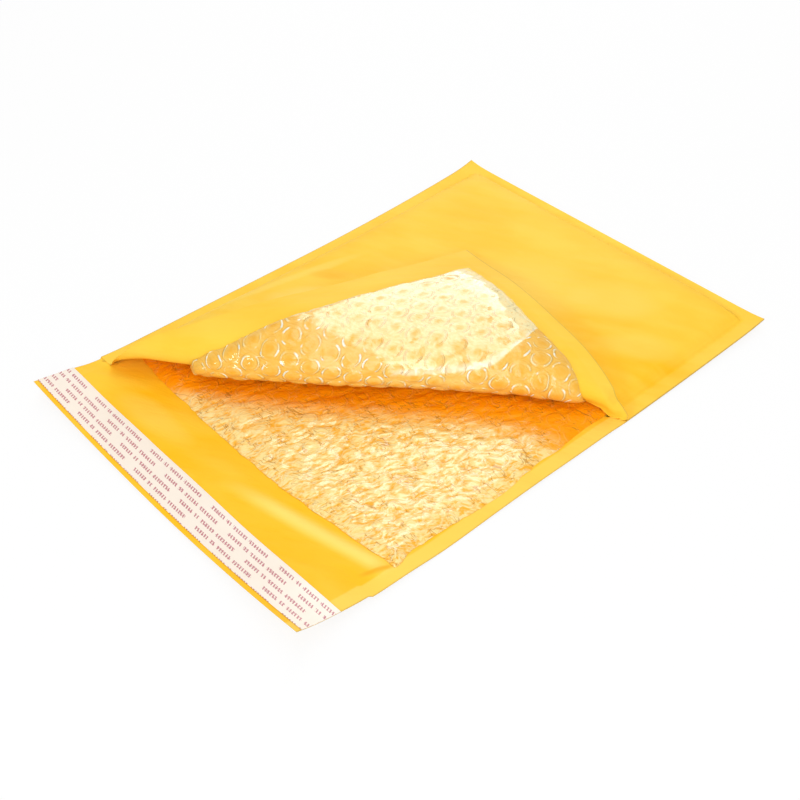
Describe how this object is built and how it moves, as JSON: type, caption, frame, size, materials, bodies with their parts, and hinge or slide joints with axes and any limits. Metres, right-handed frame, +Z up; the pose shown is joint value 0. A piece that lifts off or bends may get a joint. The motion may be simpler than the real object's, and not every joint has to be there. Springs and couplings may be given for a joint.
{
  "type": "bubble mailer",
  "caption": "Padded mailing envelope lying open, its front panel folded back to show the clear bubble lining, with a strip on its flap.",
  "frame": {"origin": "on the surface that the mailer lies on, under the middle of its outline", "axes": "+Y from the flap towards the closed end, +X across to the side whose seam is opened, +Z up"},
  "size_m": [0.23, 0.32, 0.038],
  "materials": {
    "golden_skin": "matte",
    "clear_film": "glossy clear film over the yellow skin",
    "pale_adhesive": "tacky",
    "white_liner": "smooth release paper"
  },
  "bodies": {
    "root": {"outer_envelope": "golden_skin", "bubble_lining": "clear_film", "adhesive_strip": "pale_adhesive", "release_liner": "white_liner"}
  },
  "joints": []
}
